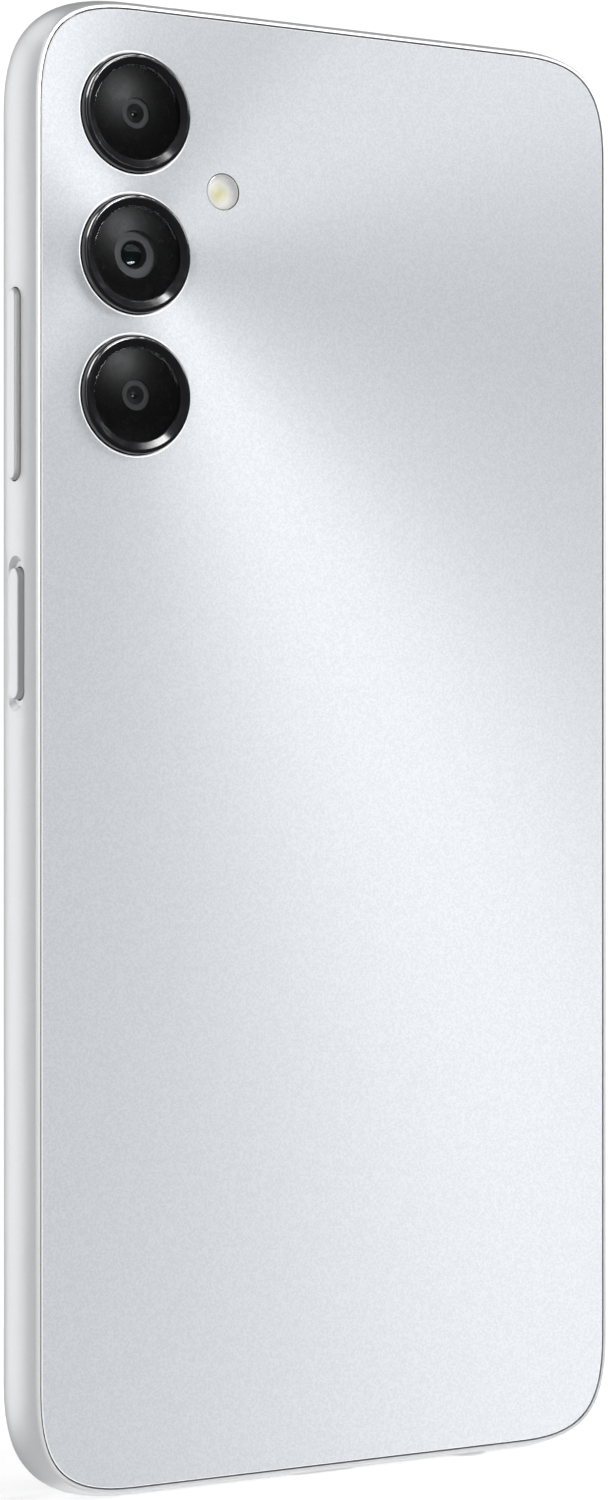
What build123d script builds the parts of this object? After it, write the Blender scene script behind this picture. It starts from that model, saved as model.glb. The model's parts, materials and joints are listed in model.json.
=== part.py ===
from build123d import *
import os

# Slab smartphone with three round rear cameras, modelled as the pieces it comes apart into.
#
# Frame, in millimetres: origin at the middle of the bottom edge, +Z up the phone, +Y out of its back,
# -Y out of its display, +X towards the side that holds the volume and power keys.

# ---- driving dimensions -------------------------------------------------------------------------
WIDTH, HEIGHT, THICKNESS = 77.8, 168.0, 8.8
BACK_FACE, FRONT_FACE = THICKNESS / 2, -THICKNESS / 2
CORNER_REACH = 12.9  # where each corner starts to leave the straight side, measured from the corner
CORNER_FULLNESS = 0.74  # share of that reach that the corner's Bezier handles take

# depths of the stack, from the back to the front
COVER_BACK_THICKNESS = 0.8
COVER_INNER = BACK_FACE - COVER_BACK_THICKNESS
ADHESIVE = 0.1
LEDGE_BACK = COVER_INNER - ADHESIVE
GLASS_THICKNESS = 0.75
GLASS_INNER = FRONT_FACE + GLASS_THICKNESS
LEDGE_FRONT = GLASS_INNER + ADHESIVE
PLATE_BACK, PLATE_FRONT = -1.5, -2.0  # mid plate
BOARD_BACK, BOARD_FRONT = 0.2, -0.6  # both circuit boards
INNER_COVER_BACK, INNER_COVER_FRONT = 2.95, 2.25

# insets from the widest outline
RIM_OUTER = 0.86  # where the barrel-shaped side meets the polished rim
RECESS = 1.3  # pockets for the back cover and the cover glass
COVER_GAP, GLASS_GAP = 0.12, 0.08
COVER_BEVEL, HOLE_BEVEL, GLASS_BEVEL = 0.16, 0.2, 0.2
ADHESIVE_OUTER, ADHESIVE_INNER = RECESS + 0.3, 2.9
WALL = 3.0  # inner face of the side frame
INNER_FIT = WALL + 0.4  # outline of the boards, clear of the wall
PLATE_GAP = 0.02  # between faces that lie on each other

# rounded side of the frame, front to back: depth and inset of each section
BARREL = [(-4.0, 0.74), (-2.0, 0.17), (0.0, 0.0), (2.1, 0.19), (4.2, RIM_OUTER)]
FRONT_CHAMFER = [BARREL[0], (-4.15, 0.9)]
RIM_CHAMFER = [BARREL[-1], (BACK_FACE, 1.04)]

# rear camera column
CAMERA_MARGIN = 13.0  # from the side, and from the top, to the first camera
CAMERA_PITCH = 15.75
CAMERA_X, CAMERA_TOP = WIDTH / 2 - CAMERA_MARGIN, HEIGHT - CAMERA_MARGIN
CAMERA_Z = {place: CAMERA_TOP - k * CAMERA_PITCH for k, place in enumerate(("top", "middle", "bottom"))}
RING_RADIUS, RING_BORE, RING_PROUD, RING_GAP = 6.65, 5.42, 0.95, 0.12
RING_FLANGE_RADIUS, RING_SEAT, RING_FOOT = 7.5, 0.8, 3.0
RING_ROUND, RING_LAND = 0.42, 0.1  # rounding of the outer edge, and the flat beside it
LENS_COVER_RADIUS, LENS_COVER_TOP, LENS_COVER_BEVEL = 5.38, BACK_FACE + 0.6, 0.08
FLASH_X, FLASH_Z, FLASH_RADIUS, FLASH_GAP = 14.75, CAMERA_TOP - CAMERA_PITCH / 2, 2.05, 0.06

# side keys, on the +X side
KEY_Y, KEY_WIDTH, KEY_CLEARANCE = 0.5, 2.4, 0.15
KEY_TAB, KEY_TAB_Y = 0.9, (KEY_Y - 1.75, KEY_Y + 1.75)  # tabs inside the wall that hold a key in
VOLUME_Z, VOLUME_LENGTH, VOLUME_PROUD = 124.4, 21.3, 0.5
VOLUME_SWITCHES = (VOLUME_Z - 7.5, VOLUME_Z + 7.5)
POWER_Z, POWER_LENGTH, POWER_PROUD = 96.75, 14.6, 0.2
SCOOP_LENGTH, SCOOP_WIDTH, SCOOP_DEPTH = 17.3, 4.2, 0.6
FLEX_X = 33.6  # the flexible circuit behind the keys

# card tray, on the -X side
TRAY_Z, TRAY_Y = 139.0, 0.9
TRAY_FACE_LENGTH, TRAY_FACE_WIDTH = 16.0, 1.95
TRAY_WIDTH, TRAY_THICKNESS, TRAY_END_X = 13.4, 1.0, -2.2
TRAY_CLEARANCE = 0.15

# bottom edge
USB_Y, JACK_X, JACK_Y = 0.2, -20.0, 0.45
USB_WIDTH, USB_HEIGHT, USB_WALL, USB_DEPTH = 8.94, 3.26, 0.3, 7.3
JACK_BORE_RADIUS, JACK_NOZZLE_RADIUS, JACK_DEPTH = 1.8, 2.4, 15.5
JACK_BODY_HALF = 3.2
JACK_BAY_X, JACK_BAY_Z = (JACK_X - 3.4, JACK_X + 3.4), (0, JACK_DEPTH + 2.2)
SPEAKER_X, SPEAKER_HOLES, SPEAKER_HOLE_RADIUS, SPEAKER_PITCH = 19.0, 6, 0.6, 2.1
MICROPHONE_X, MICROPHONE_RADIUS = 9.5, 0.45
TOP_MICROPHONE_X = -12.0

# display
DISPLAY_HALF_WIDTH, DISPLAY_LOW, DISPLAY_HIGH, DISPLAY_CORNER = 35.4, 4.6, 164.2, 7.0
FRONT_CAMERA_Z, NOTCH_RADIUS, FRONT_CAMERA_BAY = 158.9, 3.3, 3.2
EARPIECE_LOW = HEIGHT - 2.15

# battery
BATTERY = ((-34.0, 32.0), (-1.4, 3.0), (26.0, 112.0))

# vibration motor
MOTOR_X, MOTOR_Z, MOTOR_RADIUS = -29.0, 12.2, 3.9

# screws that hold the two inner covers down
UPPER_SCREWS = [(-31.5, 117.5), (12.0, 117.0), (-31.5, 154.0), (-14.5, 162.0), (9.0, 162.0), (16.2, 132.0)]
LOWER_SCREWS = [(-32.6, 20.6), (-12.5, 20.6), (8.0, 20.6), (31.5, 20.6), (-12.0, 6.0), (9.3, 6.0)]
SCREW_HEAD_RADIUS, SCREW_SHANK_RADIUS, BOSS_RADIUS = 1.15, 0.65, 1.55

os.makedirs("parts", exist_ok=True)


# ---- helpers ------------------------------------------------------------------------------------
def layer(y):
    """Sketch plane at depth y: its x is the phone's X, its y is Z, and it extrudes towards the display."""
    return Plane.XZ.offset(-y)


def side_plane(x):
    """Sketch plane across X at x: its own x is the phone's Y, its y is Z, and it extrudes towards +X."""
    return Plane.YZ.offset(x)


def body_outline(inset):
    """The phone's outline drawn in by inset, with corners that ease into the straight sides."""
    half, low, high = WIDTH / 2 - inset, inset, HEIGHT - inset
    reach = CORNER_REACH - inset
    pull = reach * (1 - CORNER_FULLNESS)
    with BuildLine() as outline:
        Line((-half, low + reach), (-half, high - reach))
        Bezier((-half, high - reach), (-half, high - pull), (-half + pull, high), (-half + reach, high))
        Line((-half + reach, high), (half - reach, high))
        Bezier((half - reach, high), (half - pull, high), (half, high - pull), (half, high - reach))
        Line((half, high - reach), (half, low + reach))
        Bezier((half, low + reach), (half, low + pull), (half - pull, low), (half - reach, low))
        Line((half - reach, low), (-half + reach, low))
        Bezier((-half + reach, low), (-half + pull, low), (-half, low + pull), (-half, low + reach))
    make_face(outline.edges())


def outline_slab(inset, y_back, y_front, mode=Mode.ADD):
    """A plate of the phone's outline between two depths."""
    with BuildSketch(layer(y_back)) as section:
        body_outline(inset)
    extrude(section.sketch, amount=y_back - y_front, mode=mode)


def block(x_range, y_range, z_range, mode=Mode.ADD):
    """A box between three pairs of coordinates."""
    spans = (x_range, y_range, z_range)
    with Locations(tuple((low + high) / 2 for low, high in spans)):
        Box(*(high - low for low, high in spans), mode=mode)


def round_block(x, z, radius, y_front, y_back, mode=Mode.ADD):
    """A cylinder along Y."""
    with Locations((x, (y_front + y_back) / 2, z)):
        Cylinder(radius, y_back - y_front, rotation=(90, 0, 0), mode=mode)


def pill(x_from, x_to, y, z, length, width, mode=Mode.ADD, taper=0):
    """A round-ended bar that is long in Z, extruded along X."""
    with BuildSketch(side_plane(x_from)) as section:
        with Locations((y, z)):
            SlotOverall(length, width, rotation=90)
    extrude(section.sketch, amount=x_to - x_from, mode=mode, taper=taper)


def turned(x, z):
    """Plane for the half section of a part turned about the Y axis through x, z: radius, then depth."""
    return Plane(origin=(x, 0, z), x_dir=(1, 0, 0), z_dir=(0, 0, 1))


def turn_about(x, z, mode=Mode.ADD):
    revolve(axis=Axis((x, 0, z), (0, 1, 0)), mode=mode)


def write(piece, name):
    """Labels one finished piece and writes its STEP file."""
    piece.part.label = name
    export_step(piece.part, f"parts/{name}.step")


# ---- casing -------------------------------------------------------------------------------------
with BuildPart() as barrel:
    for depth, inset in BARREL:
        with BuildSketch(layer(depth)):
            body_outline(inset)
    loft()
    # the polished chamfer behind it and the small one in front
    for sections in (RIM_CHAMFER, FRONT_CHAMFER):
        for depth, inset in sections:
            with BuildSketch(layer(depth)):
                body_outline(inset)
        loft(ruled=True)

with BuildPart() as side_frame:
    add(barrel.part)
    outline_slab(RECESS, BACK_FACE + 1, LEDGE_BACK, mode=Mode.SUBTRACT)
    outline_slab(RECESS, LEDGE_FRONT, FRONT_FACE - 1, mode=Mode.SUBTRACT)
    outline_slab(WALL, LEDGE_BACK + 1, LEDGE_FRONT - 1, mode=Mode.SUBTRACT)
    # key openings and the shallow scoop round the power key
    slot_width = KEY_WIDTH + 2 * KEY_CLEARANCE
    for z, length in ((VOLUME_Z, VOLUME_LENGTH), (POWER_Z, POWER_LENGTH)):
        pill(30, 45, KEY_Y, z, length + 2 * KEY_CLEARANCE, slot_width, Mode.SUBTRACT)
    scoop_floor = WIDTH / 2 - SCOOP_DEPTH
    scoop_spread = 2 * SCOOP_DEPTH
    pill(
        scoop_floor, WIDTH / 2 + 0.4, KEY_Y + 0.15, POWER_Z,
        SCOOP_LENGTH - scoop_spread, SCOOP_WIDTH - scoop_spread, Mode.SUBTRACT, taper=-45,
    )
    # card tray slot
    pill(
        -45, -30, TRAY_Y, TRAY_Z,
        TRAY_FACE_LENGTH + 2 * TRAY_CLEARANCE, TRAY_FACE_WIDTH + 2 * TRAY_CLEARANCE, Mode.SUBTRACT,
    )
    # bottom edge: charging port, headphone jack, loudspeaker and microphone holes
    with BuildSketch(Plane.XY.offset(-1)):
        with Locations((0, USB_Y)):
            SlotOverall(USB_WIDTH + 0.2, USB_HEIGHT + 0.2)
        with Locations((JACK_X, JACK_Y)):
            Circle(JACK_NOZZLE_RADIUS + 0.05)
        with Locations((SPEAKER_X, USB_Y)):
            with GridLocations(SPEAKER_PITCH, 1, SPEAKER_HOLES, 1):
                Circle(SPEAKER_HOLE_RADIUS)
        with Locations((MICROPHONE_X, USB_Y)):
            Circle(MICROPHONE_RADIUS)
    extrude(amount=6, mode=Mode.SUBTRACT)
    # top edge: second microphone
    with BuildSketch(Plane.XY.offset(HEIGHT - 5)):
        with Locations((TOP_MICROPHONE_X, USB_Y)):
            Circle(MICROPHONE_RADIUS)
    extrude(amount=6, mode=Mode.SUBTRACT)
    # earpiece slot in the front lip, above the glass
    block((-6.2, 6.2), (-5.0, -3.0), (EARPIECE_LOW, HEIGHT - RECESS), Mode.SUBTRACT)
write(side_frame, "side_frame")

with BuildPart() as back_cover:
    outline_slab(RECESS + COVER_GAP, BACK_FACE, COVER_INNER)
    chamfer(back_cover.faces().sort_by(Axis.Y)[-1].edges(), COVER_BEVEL)
    for z in CAMERA_Z.values():
        round_block(CAMERA_X, z, RING_RADIUS + RING_GAP, COVER_INNER - 1, BACK_FACE + 1, Mode.SUBTRACT)
    round_block(FLASH_X, FLASH_Z, FLASH_RADIUS + FLASH_GAP, COVER_INNER - 1, BACK_FACE + 1, Mode.SUBTRACT)
    circles = back_cover.edges().filter_by(GeomType.CIRCLE).group_by(Axis.Y)[-1]
    chamfer(circles.filter_by(lambda edge: edge.radius > RING_RADIUS), HOLE_BEVEL)
write(back_cover, "back_cover")

with BuildPart() as back_cover_adhesive:
    outline_slab(ADHESIVE_OUTER, COVER_INNER, LEDGE_BACK)
    outline_slab(ADHESIVE_INNER, COVER_INNER + 1, LEDGE_BACK - 1, mode=Mode.SUBTRACT)
write(back_cover_adhesive, "back_cover_adhesive")

with BuildPart() as mid_plate:
    outline_slab(WALL + PLATE_GAP, PLATE_BACK, PLATE_FRONT)
    # posts for the screws
    for x, z in UPPER_SCREWS + LOWER_SCREWS:
        round_block(x, z, BOSS_RADIUS, PLATE_BACK, INNER_COVER_FRONT - PLATE_GAP)
        round_block(x, z, SCREW_SHANK_RADIUS, PLATE_FRONT + 0.1, INNER_COVER_BACK, Mode.SUBTRACT)
    # low walls round the battery bay
    for z in (BATTERY[2][0] - 1.2, BATTERY[2][1] + 0.3):
        block((-33.0, 31.0), (PLATE_BACK, 0.4), (z, z + 0.9))
    # openings: headphone jack, front camera, earpiece, display cable
    block(JACK_BAY_X, (PLATE_FRONT - 1, PLATE_BACK + 3), JACK_BAY_Z, Mode.SUBTRACT)
    block(
        (-FRONT_CAMERA_BAY, FRONT_CAMERA_BAY), (PLATE_FRONT - 1, PLATE_BACK + 1),
        (FRONT_CAMERA_Z - FRONT_CAMERA_BAY, FRONT_CAMERA_Z + FRONT_CAMERA_BAY), Mode.SUBTRACT,
    )
    block((-7.5, 7.5), (PLATE_FRONT - 1, PLATE_BACK + 1), (HEIGHT - 4.6, HEIGHT), Mode.SUBTRACT)
    block((14.0, 28.0), (PLATE_FRONT - 1, PLATE_BACK + 1), (113.6, 115.2), Mode.SUBTRACT)
write(mid_plate, "mid_plate")

# ---- front --------------------------------------------------------------------------------------
with BuildPart() as cover_glass:
    outline_slab(RECESS + GLASS_GAP, GLASS_INNER, FRONT_FACE)
    # notch for the earpiece in the top edge
    block((-6.1, 6.1), (FRONT_FACE - 1, GLASS_INNER + 1), (EARPIECE_LOW, HEIGHT), Mode.SUBTRACT)
    notch_corners = cover_glass.edges().filter_by(Axis.Y)
    fillet(notch_corners.filter_by(lambda edge: abs(edge.center().Z - EARPIECE_LOW) < 0.5), 0.25)
    chamfer(cover_glass.faces().sort_by(Axis.Y)[0].edges(), GLASS_BEVEL)
write(cover_glass, "cover_glass")

with BuildPart() as display_adhesive:
    outline_slab(ADHESIVE_OUTER, LEDGE_FRONT, GLASS_INNER)
    outline_slab(ADHESIVE_INNER, LEDGE_FRONT + 1, GLASS_INNER - 1, mode=Mode.SUBTRACT)
    block((-6.5, 6.5), (GLASS_INNER - 1, LEDGE_FRONT + 1), (HEIGHT - 4, HEIGHT), Mode.SUBTRACT)
write(display_adhesive, "display_adhesive")


def display_layer(y_back, y_front, trim):
    """One layer of the display, with the round notch that clears the front camera."""
    z_mid = (DISPLAY_LOW + DISPLAY_HIGH) / 2
    with BuildSketch(layer(y_back)) as section:
        with Locations((0, z_mid)):
            RectangleRounded(
                2 * (DISPLAY_HALF_WIDTH - trim), DISPLAY_HIGH - DISPLAY_LOW - 2 * trim, DISPLAY_CORNER
            )
        with Locations((0, FRONT_CAMERA_Z)):
            Circle(NOTCH_RADIUS, mode=Mode.SUBTRACT)
        with Locations((0, (FRONT_CAMERA_Z + HEIGHT) / 2)):
            Rectangle(2 * NOTCH_RADIUS, HEIGHT - FRONT_CAMERA_Z, mode=Mode.SUBTRACT)
    extrude(section.sketch, amount=y_back - y_front)


with BuildPart() as lcd_panel:
    display_layer(-2.95, GLASS_INNER + 0.03, 0.3)
write(lcd_panel, "lcd_panel")

with BuildPart() as backlight_unit:
    display_layer(PLATE_FRONT - 0.05, -2.93, 0.0)
write(backlight_unit, "backlight_unit")

with BuildPart() as earpiece_mesh:
    block((-6.0, 6.0), (-4.15, -3.9), (EARPIECE_LOW + 0.05, HEIGHT - RECESS))
write(earpiece_mesh, "earpiece_mesh")

with BuildPart() as earpiece_speaker:
    block((-6.5, 6.5), (-1.9, 1.2), (HEIGHT - 4.5, HEIGHT - WALL - 0.1))
    fillet(earpiece_speaker.edges().filter_by(Axis.Y), 0.4)
    block((-5.0, 5.0), (-2.5, -1.6), (HEIGHT - 4.1, HEIGHT - WALL - 0.5), Mode.SUBTRACT)
write(earpiece_speaker, "earpiece_speaker")

with BuildPart() as front_camera:
    block((-2.9, 2.9), (-1.9, 0.9), (FRONT_CAMERA_Z - 2.9, FRONT_CAMERA_Z + 2.9))
    round_block(0, FRONT_CAMERA_Z, 2.3, -3.4, -1.9)
    with BuildSketch(turned(0, FRONT_CAMERA_Z)):
        with BuildLine():
            Polyline((0, -3.5), (1.5, -3.5), (0.9, -2.6), (0.9, -1.2), (0, -1.2), close=True)
        make_face()
    turn_about(0, FRONT_CAMERA_Z, Mode.SUBTRACT)
write(front_camera, "front_camera")

with BuildPart() as front_camera_lens:
    with BuildSketch(turned(0, FRONT_CAMERA_Z)):
        with BuildLine():
            lens_front = ThreePointArc((0, -2.75), (0.5, -2.66), (0.86, -2.4))
            Polyline(lens_front @ 1, (0.86, -1.4), (0, -1.4), lens_front @ 0)
        make_face()
    turn_about(0, FRONT_CAMERA_Z)
write(front_camera_lens, "front_camera_lens")

# ---- side keys ----------------------------------------------------------------------------------
SIDE_X = WIDTH / 2
INNER_WALL_X = SIDE_X - WALL
with BuildPart() as volume_key:
    pill(INNER_WALL_X - KEY_TAB, SIDE_X + VOLUME_PROUD, KEY_Y, VOLUME_Z, VOLUME_LENGTH, KEY_WIDTH)
    fillet(volume_key.faces().sort_by(Axis.X)[-1].edges(), 0.4)
    # retaining tabs beside the fulcrum, and one nub over each switch
    block((INNER_WALL_X - KEY_TAB, INNER_WALL_X - 0.25), KEY_TAB_Y, (VOLUME_Z - 5.5, VOLUME_Z + 5.5))
    for z in VOLUME_SWITCHES:
        block((INNER_WALL_X - 1.1, INNER_WALL_X - KEY_TAB), (KEY_Y - 0.6, KEY_Y + 0.6), (z - 0.8, z + 0.8))
write(volume_key, "volume_key")

with BuildPart() as power_key:
    pill(INNER_WALL_X - 0.1, SIDE_X + POWER_PROUD, KEY_Y, POWER_Z, POWER_LENGTH, KEY_WIDTH)
    fillet(power_key.faces().sort_by(Axis.X)[-1].edges(), 0.2)
    block((INNER_WALL_X - KEY_TAB, INNER_WALL_X - 0.05), KEY_TAB_Y, (POWER_Z - 8.4, POWER_Z + 8.4))
    # pocket for the sensor
    pill(INNER_WALL_X - 1.5, SIDE_X - 0.3, KEY_Y, POWER_Z, POWER_LENGTH - 2.2, KEY_WIDTH - 0.8, Mode.SUBTRACT)
    nub_x = (INNER_WALL_X - 1.1, INNER_WALL_X - KEY_TAB)
    block(nub_x, (KEY_Y - 1.7, KEY_Y - 0.9), (POWER_Z - 0.8, POWER_Z + 0.8))
write(power_key, "power_key")

with BuildPart() as fingerprint_sensor:
    pill(SIDE_X - 1.5, SIDE_X - 0.32, KEY_Y, POWER_Z, POWER_LENGTH - 2.3, KEY_WIDTH - 0.9)
    pill(SIDE_X - 2.4, SIDE_X - 1.5, KEY_Y, POWER_Z, 9.0, 1.2)
write(fingerprint_sensor, "fingerprint_sensor")


def key_switch(z):
    """A tactile switch: square body with a round dome that faces the key."""
    block((FLEX_X + 0.22, FLEX_X + 0.75), (KEY_Y - 1.5, KEY_Y + 1.5), (z - 1.5, z + 1.5))
    with Locations((FLEX_X + 0.85, KEY_Y, z)):
        Cylinder(1.1, 0.2, rotation=(0, 90, 0))


with BuildPart() as volume_up_switch:
    key_switch(VOLUME_SWITCHES[1])
write(volume_up_switch, "volume_up_switch")

with BuildPart() as volume_down_switch:
    key_switch(VOLUME_SWITCHES[0])
write(volume_down_switch, "volume_down_switch")

with BuildPart() as power_switch:
    key_switch(POWER_Z)
write(power_switch, "power_switch")

with BuildPart() as side_key_flex:
    block((FLEX_X, FLEX_X + 0.2), (KEY_Y - 1.6, KEY_Y + 1.6), (POWER_Z - 4, VOLUME_Z + 12))
    block((FLEX_X - 3.0, FLEX_X), (1.7, 1.9), (116.5, 119.0))
write(side_key_flex, "side_key_flex")

# ---- card tray ----------------------------------------------------------------------------------
with BuildPart() as sim_tray:
    pill(-SIDE_X - 1, -SIDE_X + 1.6, TRAY_Y, TRAY_Z, TRAY_FACE_LENGTH, TRAY_FACE_WIDTH)
    block(
        (-SIDE_X + 1.6, TRAY_END_X),
        (TRAY_Y - TRAY_THICKNESS / 2, TRAY_Y + TRAY_THICKNESS / 2),
        (TRAY_Z - TRAY_WIDTH / 2, TRAY_Z + TRAY_WIDTH / 2),
    )
    add(barrel.part, mode=Mode.INTERSECT)
    # one memory card bay and two small card bays, with a rim left for the cards to sit on
    bay_x = -SIDE_X + 4.0
    for bay_length, bay_width in ((15.1, 11.1), (8.9, 12.4), (8.9, 12.4)):
        if bay_x + bay_length > TRAY_END_X - 0.4:
            bay_length = TRAY_END_X - 0.4 - bay_x
        block(
            (bay_x, bay_x + bay_length), (TRAY_Y - 0.2, TRAY_Y + 1),
            (TRAY_Z - bay_width / 2, TRAY_Z + bay_width / 2), Mode.SUBTRACT,
        )
        block(
            (bay_x + 0.7, bay_x + bay_length - 0.7), (TRAY_Y - 1, TRAY_Y + 1),
            (TRAY_Z - bay_width / 2 + 0.7, TRAY_Z + bay_width / 2 - 0.7), Mode.SUBTRACT,
        )
        bay_x += bay_length + 0.7
    # hole for the ejector pin
    with Locations((-SIDE_X, TRAY_Y, TRAY_Z - 6.2)):
        Cylinder(0.45, 6, rotation=(0, 90, 0), mode=Mode.SUBTRACT)
write(sim_tray, "sim_tray")

with BuildPart() as sim_tray_seal:
    pill(-SIDE_X + 1.65, -SIDE_X + 2.25, TRAY_Y, TRAY_Z, TRAY_FACE_LENGTH + 0.1, TRAY_FACE_WIDTH + 0.1)
    block(
        (-SIDE_X, -SIDE_X + 4),
        (TRAY_Y - TRAY_THICKNESS / 2, TRAY_Y + TRAY_THICKNESS / 2),
        (TRAY_Z - TRAY_WIDTH / 2, TRAY_Z + TRAY_WIDTH / 2), Mode.SUBTRACT,
    )
write(sim_tray_seal, "sim_tray_seal")

with BuildPart() as sim_reader:
    block((-35.5, TRAY_END_X + 1.7), (BOARD_BACK + PLATE_GAP, 1.95), (TRAY_Z - 7.7, TRAY_Z + 7.7))
    block((-36.0, TRAY_END_X + 0.7), (0.32, 1.55), (TRAY_Z - 6.9, TRAY_Z + 6.9), Mode.SUBTRACT)
    with Locations((-24.5, 1.8, TRAY_Z), (-11.0, 1.8, TRAY_Z)):
        Box(7.5, 1, 9, mode=Mode.SUBTRACT)
write(sim_reader, "sim_reader")

# ---- rear cameras -------------------------------------------------------------------------------
RING_TOP = BACK_FACE + RING_PROUD
for place, z in CAMERA_Z.items():
    with BuildPart() as camera_ring:
        with BuildSketch(turned(CAMERA_X, z)):
            with BuildLine():
                Polyline(
                    (RING_BORE - RING_SEAT, RING_FOOT), (RING_FLANGE_RADIUS, RING_FOOT),
                    (RING_FLANGE_RADIUS, COVER_INNER - 0.05), (RING_RADIUS, COVER_INNER - 0.05),
                    (RING_RADIUS, RING_TOP - RING_ROUND),
                )
                rounding = JernArc((RING_RADIUS, RING_TOP - RING_ROUND), (0, 1), RING_ROUND, 90)
                Polyline(
                    rounding @ 1, (RING_RADIUS - RING_ROUND - RING_LAND, RING_TOP),
                    (RING_BORE, LENS_COVER_TOP - PLATE_GAP), (RING_BORE, BACK_FACE - PLATE_GAP),
                    (RING_BORE - RING_SEAT, BACK_FACE - PLATE_GAP), (RING_BORE - RING_SEAT, RING_FOOT),
                )
            make_face()
        turn_about(CAMERA_X, z)
    write(camera_ring, f"camera_ring_{place}")

    with BuildPart() as lens_cover:
        round_block(CAMERA_X, z, LENS_COVER_RADIUS, BACK_FACE, LENS_COVER_TOP)
        chamfer(lens_cover.edges().sort_by(Axis.Y)[-1], LENS_COVER_BEVEL)
    write(lens_cover, f"lens_cover_{place}")

MAIN_Z = CAMERA_Z["middle"]
MAIN_BARREL_RADIUS, MAIN_BORE_RADIUS, MAIN_BARREL_TOP = 3.25, 3.4, 3.75
SMALL_NOSE_RADIUS, SMALL_NOSE_TOP, SMALL_HOUSING_HALF = 2.4, 4.1, 3.2
MAIN_HOUSING_HALF = 4.75
with BuildPart() as main_camera:
    block(
        (CAMERA_X - MAIN_HOUSING_HALF, CAMERA_X + MAIN_HOUSING_HALF), (-1.4, 2.85),
        (MAIN_Z - MAIN_HOUSING_HALF, MAIN_Z + MAIN_HOUSING_HALF),
    )
    round_block(CAMERA_X, MAIN_Z, 4.2, 2.85, 3.4)
    round_block(CAMERA_X, MAIN_Z, MAIN_BORE_RADIUS, -0.6, 4, Mode.SUBTRACT)
write(main_camera, "main_camera")


def camera_mouth(radius, front, throat_radius, throat, floor):
    """Half section of the tapered mouth and straight throat of a camera barrel, to be cut away."""
    with BuildLine() as section:
        Polyline(
            (0, front + 0.1), (radius + 0.05, front + 0.1), (radius, front), (throat_radius, throat),
            (throat_radius, floor), (0, floor), close=True,
        )
    make_face(section.edges())


def domed_lens(radius, crown, edge, floor):
    """Half section of a lens with a crowned outer face."""
    with BuildLine() as section:
        crown_arc = ThreePointArc((0, crown), (radius * 0.6, crown - (crown - edge) * 0.36), (radius, edge))
        Polyline(crown_arc @ 1, (radius, floor), (0, floor), crown_arc @ 0)
    make_face(section.edges())


with BuildPart() as main_lens_barrel:
    round_block(CAMERA_X, MAIN_Z, MAIN_BARREL_RADIUS, -0.3, MAIN_BARREL_TOP)
    fillet(main_lens_barrel.faces().sort_by(Axis.Y)[-1].edges(), 0.15)
    with BuildSketch(turned(CAMERA_X, MAIN_Z)):
        camera_mouth(1.63, MAIN_BARREL_TOP, 1.25, 3.2, 0.2)
    turn_about(CAMERA_X, MAIN_Z, Mode.SUBTRACT)
write(main_lens_barrel, "main_lens_barrel")

with BuildPart() as main_camera_lens:
    with BuildSketch(turned(CAMERA_X, MAIN_Z)):
        domed_lens(1.22, 3.3, 2.95, 0.3)
    turn_about(CAMERA_X, MAIN_Z)
write(main_camera_lens, "main_camera_lens")

for name, place in (("upper_camera", "top"), ("lower_camera", "bottom")):
    z = CAMERA_Z[place]
    with BuildPart() as small_camera:
        block(
            (CAMERA_X - SMALL_HOUSING_HALF, CAMERA_X + SMALL_HOUSING_HALF), (BOARD_BACK + PLATE_GAP, 2.9),
            (z - SMALL_HOUSING_HALF, z + SMALL_HOUSING_HALF),
        )
        round_block(CAMERA_X, z, SMALL_NOSE_RADIUS, 2.9, SMALL_NOSE_TOP)
        with BuildSketch(turned(CAMERA_X, z)):
            camera_mouth(1.08, SMALL_NOSE_TOP, 0.42, 3.86, 1.5)
        turn_about(CAMERA_X, z, Mode.SUBTRACT)
    write(small_camera, name)

    with BuildPart() as small_lens:
        with BuildSketch(turned(CAMERA_X, z)):
            domed_lens(0.4, 3.85, 3.7, 1.6)
        turn_about(CAMERA_X, z)
    write(small_lens, f"{name}_lens")

with BuildPart() as flash_lens:
    round_block(FLASH_X, FLASH_Z, FLASH_RADIUS, 3.3, BACK_FACE - 0.04)
    round_block(FLASH_X, FLASH_Z, FLASH_RADIUS + 0.6, 3.0, 3.5)
    round_block(FLASH_X, FLASH_Z, 1.4, 2.9, 3.6, Mode.SUBTRACT)
    fillet(flash_lens.faces().sort_by(Axis.Y)[-1].edges(), 0.12)
write(flash_lens, "flash_lens")

with BuildPart() as flash_led:
    block((FLASH_X - 1.6, FLASH_X + 1.6), (0.22, 2.75), (FLASH_Z - 1.6, FLASH_Z + 1.6))
    block((FLASH_X - 0.9, FLASH_X + 0.9), (2.75, 3.2), (FLASH_Z - 0.9, FLASH_Z + 0.9))
write(flash_led, "flash_led")

# ---- boards, battery and cables -----------------------------------------------------------------
with BuildPart() as main_board:
    block((-35.0, 33.0), (BOARD_FRONT, BOARD_BACK), (114.0, 165.0))
    outline_slab(INNER_FIT, BOARD_BACK + 1, BOARD_FRONT - 1, mode=Mode.INTERSECT)
    half = MAIN_HOUSING_HALF + 0.3
    block((CAMERA_X - half, 40), (-2, 2), (MAIN_Z - half, MAIN_Z + half), Mode.SUBTRACT)
    block((-7.2, 7.2), (-2, 2), (FRONT_CAMERA_Z - 3.5, HEIGHT), Mode.SUBTRACT)
    for x, z in UPPER_SCREWS:
        round_block(x, z, BOSS_RADIUS + 0.2, -2, 2, Mode.SUBTRACT)
write(main_board, "main_board")

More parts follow.
